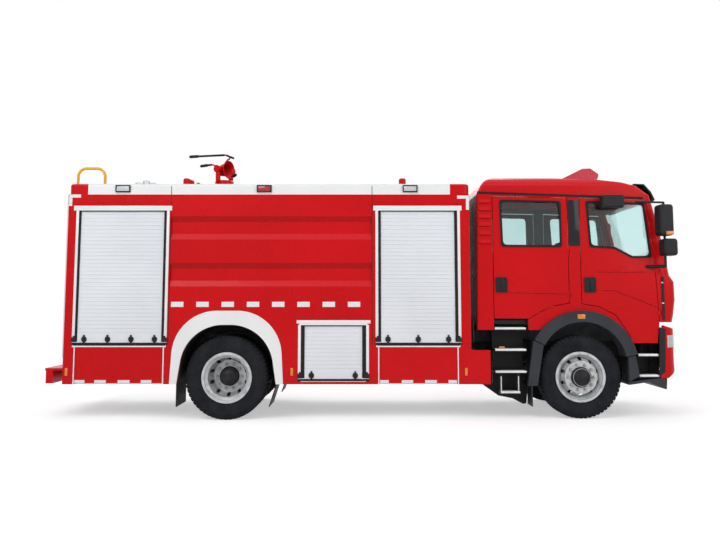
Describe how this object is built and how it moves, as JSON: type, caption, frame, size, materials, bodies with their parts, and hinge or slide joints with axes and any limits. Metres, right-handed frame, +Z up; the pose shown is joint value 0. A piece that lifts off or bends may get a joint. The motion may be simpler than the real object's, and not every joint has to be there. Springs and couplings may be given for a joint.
{
  "type": "crew cab fire engine",
  "caption": "Full-size two-axle fire engine with a tilting crew cab, a shuttered equipment body, drop-down side panels and a roof monitor.",
  "frame": {"origin": "on the ground under the middle of the vehicle's length, on its centre line", "axes": "+X forward, +Y to the left-hand side, +Z up"},
  "size_m": [8.1299, 2.94, 3.564],
  "materials": {
    "red_paint": "gloss",
    "white_paint": "satin",
    "shutter_alloy": "satin",
    "chassis_black": "satin",
    "axle_black": "matt",
    "spring_steel": "matt",
    "engine_grey": "matt",
    "tank_alloy": "satin",
    "tread_plate": "satin",
    "black_plastic": "matt",
    "grey_plastic": "matt",
    "lamp_clear": "gloss",
    "lamp_colour": "gloss",
    "tyre": "matt",
    "wheel_silver": "satin",
    "glass": "gloss",
    "seat_fabric": "matt",
    "dash_plastic": "matt",
    "yellow_paint": "gloss",
    "beacon_red": "gloss"
  },
  "bodies": {
    "chassis": {"chassis_frame": "chassis_black", "front_axle_beam": "axle_black", "drive_axle": "axle_black", "leaf_springs": "spring_steel", "engine": "engine_grey", "chassis_tanks": "tank_alloy", "front_bumper": "red_paint", "headlamps": "lamp_clear", "front_skirts": "grey_plastic", "entry_steps": "tread_plate", "rear_mudguards": "black_plastic", "rear_bumper": "red_paint", "rear_lamps": "lamp_colour", "side_lamps": "lamp_colour", "body_sides": "red_paint", "body_lockers": "shutter_alloy", "body_core": "red_paint", "deck_rails": "white_paint", "deck_rail_ends": "red_paint", "shutter_curtains": "shutter_alloy", "shutter_frames": "white_paint", "arch_trims": "white_paint", "ladder": "tank_alloy", "ladder_hoop": "yellow_paint", "deck_fittings": "red_paint", "monitor_base": "red_paint"},
    "cab": {"cab_shell": "red_paint", "windscreen": "glass", "cab_fenders": "grey_plastic", "seats": "seat_fabric", "dashboard": "dash_plastic", "cab_front_trim": "black_plastic", "light_bar": "beacon_red"},
    "tie_rod": {"tie_rod": "axle_black"},
    "monitor_turret": {"monitor_turret": "red_paint"},
    "monitor_barrel": {"monitor_barrel": "red_paint"},
    "steer_right": {"knuckle_right": "axle_black"},
    "front_wheel_right": {"front_rim_right": "wheel_silver", "front_tyre_right": "tyre"},
    "rear_wheels_right": {"rear_rims_right": "wheel_silver", "rear_tyres_right": "tyre"},
    "flap_rear_right": {"flap_rear_right": "red_paint"},
    "flap_front_right": {"flap_front_right": "red_paint"},
    "front_door_right": {"front_door_right": "red_paint", "front_glass_right": "glass", "mirrors_right": "black_plastic"},
    "rear_door_right": {"rear_door_right": "red_paint", "rear_glass_right": "glass"},
    "steer_left": {"knuckle_left": "axle_black"},
    "front_wheel_left": {"front_rim_left": "wheel_silver", "front_tyre_left": "tyre"},
    "rear_wheels_left": {"rear_rims_left": "wheel_silver", "rear_tyres_left": "tyre"},
    "flap_rear_left": {"flap_rear_left": "red_paint"},
    "flap_front_left": {"flap_front_left": "red_paint"},
    "front_door_left": {"front_door_left": "red_paint", "front_glass_left": "glass", "mirrors_left": "black_plastic"},
    "rear_door_left": {"rear_door_left": "red_paint", "rear_glass_left": "glass"}
  },
  "joints": [
    {"name": "steer_right", "type": "hinge", "parent": "chassis", "child": "steer_right", "pos_m": [2.75, -0.856, 0.522], "axis": [0, 0, 1], "range_deg": [-36, 36]},
    {"name": "front_wheel_right_spin", "type": "hinge", "parent": "steer_right", "child": "front_wheel_right", "pos_m": [2.75, -0.972, 0.522], "axis": [0, 1, 0], "continuous": true},
    {"name": "rear_wheels_right_spin", "type": "hinge", "parent": "chassis", "child": "rear_wheels_right", "pos_m": [-1.75, -0.92, 0.522], "axis": [0, 1, 0], "continuous": true},
    {"name": "front_door_right_hinge", "type": "hinge", "parent": "cab", "child": "front_door_right", "pos_m": [3.79, -1.132, 2], "axis": [0, 0, 1], "range_deg": [0, 70]},
    {"name": "rear_door_right_hinge", "type": "hinge", "parent": "cab", "child": "rear_door_right", "pos_m": [2.632, -1.132, 2], "axis": [0, 0, 1], "range_deg": [0, 70]},
    {"name": "flap_rear_right_hinge", "type": "hinge", "parent": "chassis", "child": "flap_rear_right", "pos_m": [-3.11, -1.24, 0.463], "axis": [1, 0, 0], "range_deg": [0, 90]},
    {"name": "flap_front_right_hinge", "type": "hinge", "parent": "chassis", "child": "flap_front_right", "pos_m": [0.67, -1.24, 0.463], "axis": [1, 0, 0], "range_deg": [0, 90]},
    {"name": "steer_left", "type": "hinge", "parent": "chassis", "child": "steer_left", "pos_m": [2.75, 0.856, 0.522], "axis": [0, 0, 1], "range_deg": [-36, 36]},
    {"name": "front_wheel_left_spin", "type": "hinge", "parent": "steer_left", "child": "front_wheel_left", "pos_m": [2.75, 0.972, 0.522], "axis": [0, 1, 0], "continuous": true},
    {"name": "rear_wheels_left_spin", "type": "hinge", "parent": "chassis", "child": "rear_wheels_left", "pos_m": [-1.75, 0.92, 0.522], "axis": [0, 1, 0], "continuous": true},
    {"name": "front_door_left_hinge", "type": "hinge", "parent": "cab", "child": "front_door_left", "pos_m": [3.79, 1.132, 2], "axis": [0, 0, -1], "range_deg": [0, 70]},
    {"name": "rear_door_left_hinge", "type": "hinge", "parent": "cab", "child": "rear_door_left", "pos_m": [2.632, 1.132, 2], "axis": [0, 0, -1], "range_deg": [0, 70]},
    {"name": "flap_rear_left_hinge", "type": "hinge", "parent": "chassis", "child": "flap_rear_left", "pos_m": [-3.11, 1.24, 0.463], "axis": [-1, 0, 0], "range_deg": [0, 90]},
    {"name": "flap_front_left_hinge", "type": "hinge", "parent": "chassis", "child": "flap_front_left", "pos_m": [0.67, 1.24, 0.463], "axis": [-1, 0, 0], "range_deg": [0, 90]},
    {"name": "tie_rod_swing", "type": "hinge", "parent": "steer_right", "child": "tie_rod", "pos_m": [2.58, -0.856, 0.365], "axis": [0, 0, 1], "range_deg": [-36, 36]},
    {"name": "cab_tilt", "type": "hinge", "parent": "chassis", "child": "cab", "pos_m": [3.92, 0, 1.1], "axis": [0, 1, 0], "range_deg": [0, 50]},
    {"name": "monitor_turn", "type": "hinge", "parent": "chassis", "child": "monitor_turret", "pos_m": [-1.966, -0.3, 3.051], "axis": [0, 0, 1], "range_deg": [-170, 170]},
    {"name": "monitor_lift", "type": "hinge", "parent": "monitor_turret", "child": "monitor_barrel", "pos_m": [-1.966, -0.3, 3.31], "axis": [-0.5, -0.866, 0], "range_deg": [-15, 60]}
  ],
  "couplings": [
    {"joint": "steer_left", "follows": "steer_right", "ratio": 1},
    {"joint": "tie_rod_swing", "follows": "steer_right", "ratio": -1}
  ]
}
